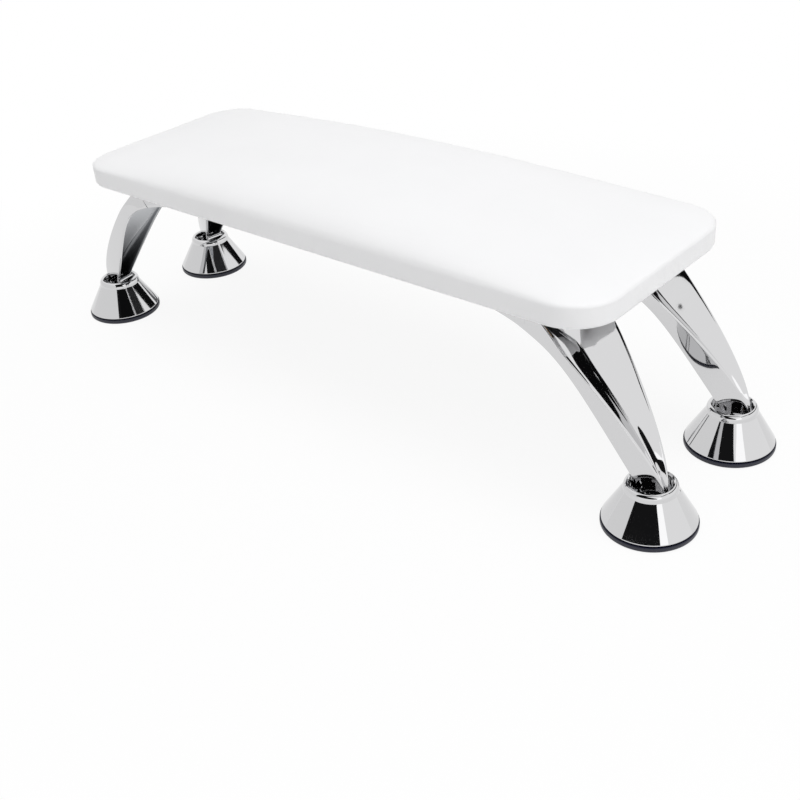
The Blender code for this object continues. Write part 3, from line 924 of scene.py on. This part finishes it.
    def half_width_at(self, height: float, widening: Widening) -> float:
        """Half width of the leg at a height of one of its edges.

        Args:
            height: the edge's height.
            widening: how that edge widens.

        Returns:
            The half width.
        """
        broad = self.top - widening.broad_drop
        if height > broad:
            share = share_between(height, broad, self.top)
            return blend(widening.broad_half, widening.top_half, share)
        return blend(widening.end_half, widening.broad_half,
                     share_between(height, self.end_height, broad))

    def sections(self) -> list[Section]:
        """All cross-sections, from the plate's inner end down to the foot."""
        result = []
        run = self.plate_inner_end - self.plate_outer_end
        inner_face = self.plate_inner_end - self.end_wall
        stations = [(self.plate_inner_end, False), (self.plate_inner_end - 0.4 * MM, False),
                    (inner_face + 0.3 * MM, False), (inner_face - 0.3 * MM, True)]
        stations += [(self.plate_inner_end - share * run, True)
                     for share in (0.10, 0.30, 0.50, 0.70, 0.88)]
        for along, hollow in stations:
            share = (self.plate_inner_end - along) / run
            half = blend(self.inner_half, self.outer_half, share)
            ridge = Vector((along, self.top))
            skirt = self.skirt_across(ridge, Vector((-1.0, 0.0)))
            groove = self.rim_depth if hollow else 0.01 * MM
            result.append(Section(ridge, skirt, half, half + self.flare, groove, half, 0.0,
                                  hollow))
        curve = self.ridge_handles()
        shares = [step / self.shin_steps for step in range(self.shin_steps)]
        for share in (*shares, 0.995, 1.0):
            ridge = self.curve_point(curve, share)
            skirt = self.skirt_across(ridge, self.curve_direction(curve, share))
            ridge_half = self.half_width_at(ridge.y, self.ridge_widening)
            skirt_half = self.half_width_at(skirt.y, self.skirt_widening)
            opened = share_between(share, self.narrows_from,
                                   self.narrows_from + self.narrows_over)
            full = min(self.groove_depth,
                       self.groove_least + self.groove_per_width * ridge_half)
            result.append(Section(ridge, skirt, ridge_half, skirt_half,
                                  blend(self.rim_depth, full, opened),
                                  blend(ridge_half, self.valley_half, opened), opened,
                                  True))
        return result

    def section_points(self, section: Section) -> list[Vector]:
        """Ring of points of one cross-section.

        Args:
            section: the sizes there.

        Returns:
            Points in the leg's frame: outer side, then the hollow inner side.
        """
        down = section.skirt - section.ridge
        depth = down.length
        down.normalize()
        half = section.ridge_half
        rim = min(self.rim_width, half * 0.4)
        floor_half = min(section.floor_half, half - rim - self.valley_half)
        groove = section.groove
        run = half - rim - floor_half
        slope = min(math.atan2(groove, run), self.steepest)
        under = blend(self.wall, self.wall / math.cos(slope), section.opened)
        inner_half = max(half - self.wall, 0.35 * half)
        corner = under + max(0.0, half - rim - inner_half) * math.tan(slope)
        corner = min(blend(groove + self.wall, corner, section.opened), depth - 1.2 * MM)
        floor = groove + under
        if not section.hollow:
            corner = floor = depth - 0.01 * MM
        bulge = self.bulge * min(1.0, depth / self.bulge_depth)
        side = section.skirt_half - half
        knee_half = floor_half + run * self.knee_at
        knee_drop = groove * self.knee_depth
        edge = min(self.edge_round, half * 0.15)
        outer = [(section.skirt_half, depth),
                 (section.skirt_half - side * 0.12 + bulge * 0.4, depth * 0.88),
                 (half + side * 0.5 + bulge, depth * 0.5),
                 (half + side * 0.1 + bulge * 0.4, depth * 0.10),
                 (half, 0.25 * MM), (half - edge, 0.0), (half - rim, 0.0),
                 (half - rim - run * 0.05, knee_drop * 0.05),
                 (blend(knee_half, half - rim, 0.12), knee_drop * 0.88),
                 (knee_half, knee_drop), (floor_half, groove)]
        floor_inner = min(floor_half, inner_half * 0.8)
        inner = [(floor_inner, floor), (inner_half, corner),
                 (section.skirt_half - self.wall, depth - 0.3 * MM),
                 (section.skirt_half - self.wall + self.flare, depth)]
        ring = [(-across, fall) for across, fall in outer]
        ring += reversed(outer)
        ring.reverse()
        ring += [(-across, fall) for across, fall in reversed(inner)]
        ring += inner
        return [Vector((section.ridge.x + down.x * fall, across,
                        section.ridge.y + down.y * fall)) for across, fall in ring]

    def build_casting(self) -> bmesh.types.BMesh:
        """Model the casting by drawing one section along the leg.

        The faces of the hollow side take the second material.
        """
        sections = self.sections()
        bm = bmesh.new()
        points = self.section_points(sections[0])
        verts = [bm.verts.new(point) for point in points]
        ring = [bm.edges.new((verts[i], verts[(i + 1) % len(verts)]))
                for i in range(len(verts))]
        bmesh.ops.contextual_create(bm, geom=ring)
        inner = set(verts[-2 * self.INNER_POINTS:])
        for section in sections[1:]:
            grown = bmesh.ops.extrude_edge_only(bm, edges=ring)["geom"]
            ring = [item for item in grown if isinstance(item, bmesh.types.BMEdge)]
            fresh = [item for item in grown if isinstance(item, bmesh.types.BMVert)]
            inner.update(fresh[-2 * self.INNER_POINTS:])
            for vert, point in zip(fresh, self.section_points(section)):
                vert.co = point
        bmesh.ops.contextual_create(bm, geom=ring)
        bmesh.ops.recalc_face_normals(bm, faces=bm.faces)
        for face in bm.faces:
            if all(vert in inner for vert in face.verts):
                face.material_index = 1
        return bm

    def dress(self, chrome: bpy.types.Material, hollow: bpy.types.Material) -> None:
        """Build the casting and put it in place.

        Args:
            chrome: the finish of the casting's polished side.
            hollow: the finish of its hollow side.
        """
        name = f"cast_leg_{self.corner.label}"
        casting = add_piece(name, self.build_casting(), chrome, 50.0)
        casting.data.materials.append(hollow)
        smoothing = casting.modifiers.new("smooth", "SUBSURF")
        smoothing.levels = self.smoothing_levels
        smoothing.render_levels = self.smoothing_levels
        baked(casting)
        boss = upright_rod(self.boss_radius, *self.boss_span)
        knuckle = upright_rod(self.knuckle_radius, -self.knuckle_half_length,
                              self.knuckle_half_length)
        bmesh.ops.rotate(knuckle, cent=(0.0, 0.0, 0.0), verts=knuckle.verts,
                         matrix=Matrix.Rotation(math.pi / 2.0, 3, "X"))
        along, height = self.knuckle_place
        bmesh.ops.translate(knuckle, vec=(along, 0.0, height), verts=knuckle.verts)
        cut(casting, [boss, knuckle], CutKind.JOIN)
        low = self.top - self.plate_bore_depth
        holes = [upright_rod(self.screw_hole_radius, low, self.top, along, across)
                 for along, across in self.screw_places]
        middle = (self.plate_inner_end + self.plate_outer_end) / 2.0
        holes.append(upright_rod(self.plate_bore_radius, low, self.top, middle, 0.0))
        holes.append(upright_rod(self.boss_bore_radius, *self.boss_bore_span))
        cut(casting, holes)
        casting.data.transform(self.placement())
        casting.data.shade_smooth()
        casting.data.set_sharp_from_angle(angle=math.radians(50.0))
        mount_piece(casting, "leg_chrome", f"leg_{self.corner.label}")


@dataclass
class PlateScrews:
    """The four wood screws that hold one mounting plate."""

    leg: Leg
    head_radius: float = 3.5 * MM
    head_height: float = 2.2 * MM
    seat: float = 109.0 * MM
    shank_radius: float = 1.75 * MM
    tip: float = 121.1 * MM
    tip_length: float = 2.0 * MM
    recess_depth: float = 1.3 * MM
    first_turn: float = 25.0
    turn_step: float = 67.0
    steps: int = 28

    def dress(self, steel: bpy.types.Material) -> None:
        """Build the screws and put them in place.

        Args:
            steel: the finish of the screws.
        """
        face = self.seat - self.head_height
        rim = self.head_radius
        profile = [(0.0, face, 0.0), (0.55 * rim, face + 0.04 * MM, 0.3 * MM),
                   (0.9 * rim, face + 0.6 * MM, 0.5 * MM),
                   (rim, self.seat - 0.7 * MM, 0.3 * MM), (rim, self.seat, 0.0),
                   (self.shank_radius, self.seat, 0.0),
                   (self.shank_radius, self.tip - self.tip_length, 0.0), (0.0, self.tip, 0.0)]
        for number, (along, across) in enumerate(self.leg.screw_places, start=1):
            label = f"{self.leg.corner.label}_{number}"
            screw = add_piece(f"wood_screw_{label}", spun(profile, self.steps), steel)
            cut(screw, cross_recess(rim, self.recess_depth, face))
            turn = math.radians(self.first_turn + self.turn_step * number)
            screw.data.transform(Matrix.Rotation(turn, 4, "Z"))
            place = self.leg.placement() @ Matrix.Translation((along, across, 0.0))
            screw.data.transform(place)
            mount_piece(screw, "plate_screw_steel", f"plate_screw_{label}")


@dataclass
class Foot:
    """One foot: chromed cone cup, rubber ring and the screw in its bowl."""

    leg: Leg
    radius: float = 25.0 * MM
    height: float = 26.5 * MM
    mouth_radius: float = 11.1 * MM
    lip: float = 0.8 * MM
    lip_steps: int = 12
    shoulder_radius: float = 14.3 * MM
    shoulder_height: float = 22.2 * MM
    floor_top: float = 20.5 * MM
    floor_low: float = 18.0 * MM
    bowl_radius: float = 17.6 * MM
    bowl_top_radius: float = 8.0 * MM
    base: float = 3.3 * MM
    bore_radius: float = 3.0 * MM
    groove_half: float = 1.3 * MM
    groove_depth: float = 1.4 * MM
    ring_overhang: float = 0.4 * MM
    ring_top: float = 3.0 * MM
    ring_tongue_half: float = 1.0 * MM
    ring_relief: float = 0.8 * MM
    ring_relief_width: float = 2.6 * MM
    screw_radius: float = 6.4 * MM
    screw_head: float = 3.4 * MM
    screw_seat: float = 17.7 * MM
    screw_shank_radius: float = 2.5 * MM
    screw_length: float = 9.8 * MM
    screw_recess: float = 1.9 * MM
    bowl_steps: int = 12
    screw_steps: int = 48
    steps: int = 144

    def cup_profile(self) -> list[tuple[float, float, float]]:
        """Half section of the cup."""
        profile = [(self.radius - 0.8 * MM, self.base, 0.3 * MM),
                   (self.radius, self.base + 0.8 * MM, 0.5 * MM)]
        lip = self.mouth_radius + self.lip
        for step in range(self.lip_steps + 1):
            angle = math.pi / 2.0 * step / self.lip_steps
            profile.append((blend(lip, self.shoulder_radius, math.cos(angle)),
                            blend(self.shoulder_height, self.height, math.sin(angle)), 0.0))
        profile += [(self.mouth_radius, self.height - self.lip, 0.3 * MM),
                    (self.mouth_radius, self.floor_top, 0.0),
                    (self.bore_radius, self.floor_top, 0.0),
                    (self.bore_radius, self.floor_low, 0.0),
                    (self.bowl_top_radius, self.floor_low, 0.0)]
        for step in range(1, self.bowl_steps + 1):
            angle = math.pi / 2.0 * step / self.bowl_steps
            across = self.bowl_radius - self.bowl_top_radius
            profile.append((self.bowl_top_radius + across * math.sin(angle),
                            self.floor_low
                            + (self.base - self.floor_low) * (1.0 - math.cos(angle)), 0.0))
        middle = (self.radius + self.bowl_radius) / 2.0
        for side, height in ((-1.0, 0.0), (-1.0, self.groove_depth),
                             (1.0, self.groove_depth), (1.0, 0.0)):
            profile.append((middle + side * self.groove_half, self.base + height, 0.0))
        return profile

    def ring_profile(self) -> list[tuple[float, float, float]]:
        """Half section of the rubber ring."""
        outer = self.radius + self.ring_overhang
        middle = (self.radius + self.bowl_radius) / 2.0
        top = self.ring_top
        tip = top + self.groove_depth
        half = self.ring_tongue_half
        relief = self.ring_relief
        inner = self.bowl_radius + self.ring_relief_width
        return [(outer - relief, 0.0, 0.2 * MM), (outer, relief, 0.4 * MM),
                (outer, top, 0.3 * MM), (middle + half, top, 0.0), (middle + half, tip, 0.0),
                (middle - half, tip, 0.0), (middle - half, top, 0.0),
                (self.bowl_radius, top, 0.0), (self.bowl_radius, relief, 0.2 * MM),
                (inner, relief, 0.0), (inner, 0.0, 0.2 * MM)]

    def screw_profile(self) -> list[tuple[float, float, float]]:
        """Half section of the foot screw."""
        seat = self.screw_seat
        face = seat - self.screw_head
        rim = self.screw_radius
        shank = self.screw_shank_radius
        tip = seat + self.screw_length
        return [(0.0, face, 0.0), (0.5 * rim, face + 0.15 * MM, 0.8 * MM),
                (0.85 * rim, face + 0.9 * MM, 0.8 * MM), (rim, seat - 0.9 * MM, 0.4 * MM),
                (rim, seat, 0.0), (shank, seat, 0.0), (shank, tip, 0.3 * MM), (0.0, tip, 0.0)]

    def dress(self, chrome: bpy.types.Material, rubber: bpy.types.Material,
              steel: bpy.types.Material) -> None:
        """Build the foot's three pieces and put them in place.

        Args:
            chrome: the finish of the cup.
            rubber: the finish of the ring.
            steel: the finish of the screw.
        """
        label = self.leg.corner.label
        place = self.leg.placement()
        cup = add_piece(f"cone_cup_{label}", spun(self.cup_profile(), self.steps), chrome)
        ring = add_piece(f"rubber_ring_{label}", spun(self.ring_profile(), self.steps), rubber)
        screw = add_piece(f"foot_screw_head_{label}",
                          spun(self.screw_profile(), self.screw_steps), steel)
        cut(screw, cross_recess(self.screw_radius, self.screw_recess,
                                self.screw_seat - self.screw_head))
        for piece, slot, node in ((cup, "foot_chrome", "foot_cup"),
                                  (ring, "ring_rubber", "foot_ring"),
                                  (screw, "foot_screw_steel", "foot_screw")):
            piece.data.transform(place)
            keep_flats_flat(piece)
            mount_piece(piece, slot, f"{node}_{label}")


@dataclass
class PhotoCamera:
    """The camera that took the photograph, recovered from the pad and the feet."""

    place: tuple[float, float, float] = (0.44442, -0.46115, 0.37109)
    yaw: float = -0.755630
    pitch: float = 0.555990
    roll: float = -0.085513
    lens_mm: float = 50.566
    sensor_mm: float = 36.0

    def add(self) -> None:
        """Create the camera and make it the scene's."""
        forward = Vector((math.sin(self.yaw) * math.cos(self.pitch),
                          math.cos(self.yaw) * math.cos(self.pitch), -math.sin(self.pitch)))
        level = Vector((math.cos(self.yaw), -math.sin(self.yaw), 0.0))
        upright = level.cross(forward)
        right = level * math.cos(self.roll) + upright * math.sin(self.roll)
        up = upright * math.cos(self.roll) - level * math.sin(self.roll)
        data = bpy.data.cameras.new("photo_camera")
        data.sensor_width = self.sensor_mm
        data.lens = self.lens_mm
        data.clip_start = 0.01
        camera = bpy.data.objects.new("photo_camera", data)
        bpy.context.scene.collection.objects.link(camera)
        turn = Matrix((right, up, -forward)).transposed().to_4x4()
        camera.matrix_world = Matrix.Translation(self.place) @ turn
        bpy.context.scene.camera = camera


@dataclass(frozen=True)
class Card:
    """One upright card that only the shiny finishes see.

    The ends are (x, y) places on the floor. The spans are the heights of the card's
    lower and upper edge at each end.
    """

    name: str
    start: tuple[float, float]
    end: tuple[float, float]
    start_span: tuple[float, float]
    end_span: tuple[float, float]
    shade: str
    strength: float = 1.0

    def add(self) -> None:
        """Stand the card in the scene."""
        bm = bmesh.new()
        foot = bm.verts.new((*self.start, self.start_span[0]))
        head = bm.verts.new((*self.start, self.start_span[1]))
        edge = bm.edges.new((foot, head))
        grown = bmesh.ops.extrude_edge_only(bm, edges=[edge])["geom"]
        fresh = [item for item in grown if isinstance(item, bmesh.types.BMVert)]
        for vert, height in zip(sorted(fresh, key=lambda item: item.co.z), self.end_span):
            vert.co = (*self.end, height)
        material, tree = blank_material(self.name)
        shader = add_node(tree, "ShaderNodeEmission", {"Color": linear(self.shade),
                                                       "Strength": self.strength})
        finish_surface(tree, shader)
        card = add_piece(self.name, bm, material)
        card.visible_camera = False
        card.visible_diffuse = False
        card.visible_shadow = False
        card.visible_transmission = False


@dataclass(frozen=True)
class Softbox:
    """One square lamp that points at the rest and that the chrome doesn't show."""

    name: str
    place: tuple[float, float, float]
    size: float
    power: float

    def add(self) -> None:
        """Hang the lamp in the scene."""
        data = bpy.data.lights.new(self.name, "AREA")
        data.shape = "SQUARE"
        data.size = self.size
        data.energy = self.power
        lamp = bpy.data.objects.new(self.name, data)
        bpy.context.scene.collection.objects.link(lamp)
        lamp.visible_glossy = False
        aim = Vector((0.0, 0.0, 0.08)) - Vector(self.place)
        lamp.matrix_world = (Matrix.Translation(self.place)
                             @ aim.to_track_quat("-Z", "Y").to_matrix().to_4x4())


@dataclass
class Studio:
    """White sweep, soft lamps and the cards that draw the chrome.

    The floor keeps the rest's shadow as far as shadow_reach from the middle and is plain
    white from shadow_end outwards.
    """

    floor_radius: float = 3.0
    ambient: float = 0.47
    reflected_white: float = 1.08
    floor_glow: float = 0.90
    paper: str = "#f7f7f7"
    shadow_reach: float = 0.26
    shadow_end: float = 0.50
    lamps: tuple[Softbox, ...] = (
        Softbox("top_softbox", (0.15, -0.25, 2.2), 1.6, 27.5),
        Softbox("right_softbox", (2.2, 0.3, 0.7), 1.2, 10.5),
        Softbox("front_softbox", (0.65, -0.85, 1.0), 0.4, 1.3),
    )
    cards: tuple[Card, ...] = (
        Card("black_card_front", (-0.011, -0.462), (0.542, -0.275), (0.117, 0.717),
             (0.114, 0.155), "#1a1a1b"),
        Card("black_card_high", (-0.055, -0.580), (0.464, 0.036), (0.0, 1.143),
             (0.450, 0.772), "#121213"),
        Card("black_card_back", (1.497, 0.653), (0.109, 2.126), (1.079, 1.903),
             (0.201, 0.695), "#121213"),
        Card("black_card_far", (2.510, -0.646), (1.679, 0.850), (2.120, 2.565),
             (1.691, 2.595), "#121213"),
        Card("white_card_right", (1.290, -1.181), (1.342, -0.403), (0.182, 0.704),
             (0.244, 0.822), "#ffffff", 1.5),
        Card("pale_card_left", (0.090, -0.514), (-0.877, 0.048), (0.0, 0.336),
             (0.0, 0.282), "#ffffff", 0.93),
    )

    def dress_floor(self) -> None:
        """Add the paper floor, which keeps the rest's soft shadow."""
        material, tree = blank_material("white_paper_sweep")
        path = add_node(tree, "ShaderNodeLightPath")
        place = add_node(tree, "ShaderNodeTexCoord").outputs["Object"]
        reach = add_node(tree, "ShaderNodeVectorMath", {0: place}, operation="LENGTH")
        fade = add_node(tree, "ShaderNodeMapRange",
                        {"Value": reach.outputs["Value"], "From Min": self.shadow_reach,
                         "From Max": self.shadow_end}, interpolation_type="SMOOTHSTEP")
        paper = add_node(tree, "ShaderNodeBsdfDiffuse", {"Color": linear(self.paper)})
        glow = add_node(tree, "ShaderNodeEmission", {"Strength": 1.0})
        glowing = add_node(tree, "ShaderNodeMixShader",
                           {0: self.floor_glow, 1: paper.outputs[0], 2: glow.outputs[0]})
        near = add_node(tree, "ShaderNodeMixShader",
                        {0: fade.outputs["Result"], 1: glowing.outputs[0],
                         2: glow.outputs[0]})
        watched = add_node(tree, "ShaderNodeMath",
                           {0: path.outputs["Is Camera Ray"],
                            1: path.outputs["Is Glossy Ray"]}, operation="MAXIMUM")
        seen = add_node(tree, "ShaderNodeMixShader",
                        {0: watched.outputs[0], 1: paper.outputs[0], 2: near.outputs[0]})
        finish_surface(tree, seen)
        bm = bmesh.new()
        bmesh.ops.create_circle(bm, cap_ends=True, segments=64, radius=self.floor_radius)
        floor = add_piece("paper_floor", bm, material)

    def dress_world(self) -> None:
        """Light the scene evenly and show white to the camera and to the chrome."""
        world = bpy.data.worlds.new("studio_white")
        world.use_nodes = True
        bpy.context.scene.world = world
        tree = world.node_tree
        tree.nodes.clear()
        path = add_node(tree, "ShaderNodeLightPath")
        clear = add_node(tree, "ShaderNodeMath",
                         {0: path.outputs["Is Camera Ray"],
                          1: path.outputs["Is Transmission Ray"]}, operation="MAXIMUM")
        ambient = add_node(tree, "ShaderNodeBackground", {"Strength": self.ambient})
        mirrored = add_node(tree, "ShaderNodeBackground",
                            {"Color": linear("#ffffff"), "Strength": self.reflected_white})
        white = add_node(tree, "ShaderNodeBackground", {"Color": linear("#ffffff"),
                                                        "Strength": 1.0})
        shiny = add_node(tree, "ShaderNodeMixShader",
                         {0: path.outputs["Is Glossy Ray"], 1: ambient.outputs[0],
                          2: mirrored.outputs[0]})
        mix = add_node(tree, "ShaderNodeMixShader",
                       {0: clear.outputs[0], 1: shiny.outputs[0], 2: white.outputs[0]})
        add_node(tree, "ShaderNodeOutputWorld", {"Surface": mix.outputs[0]})

    def build(self) -> None:
        """Build the whole studio."""
        self.dress_floor()
        self.dress_world()
        for item in (*self.lamps, *self.cards):
            item.add()


def set_view() -> None:
    """Show colours plainly."""
    scene = bpy.context.scene
    scene.view_settings.view_transform = "Standard"


def main() -> None:
    """Build the camera, the studio and every piece of the rest."""
    logging.basicConfig(level=logging.INFO, format="%(message)s")
    set_view()
    PhotoCamera().add()
    Studio().build()
    Pad().dress()
    leg_chrome = MirrorChrome("chrome_on_zinc_leg").make()
    hollow_chrome = UnpolishedChrome().make()
    foot_chrome = MirrorChrome("chrome_on_zinc_foot", wave_height_mm=0.012).make()
    rubber = MouldedRubber().make()
    steel = ZincPlatedSteel().make()
    for corner in Corner:
        leg = Leg(corner)
        leg.dress(leg_chrome, hollow_chrome)
        PlateScrews(leg).dress(steel)
        Foot(leg).dress(foot_chrome, rubber, steel)


if __name__ == "__main__":
    main()
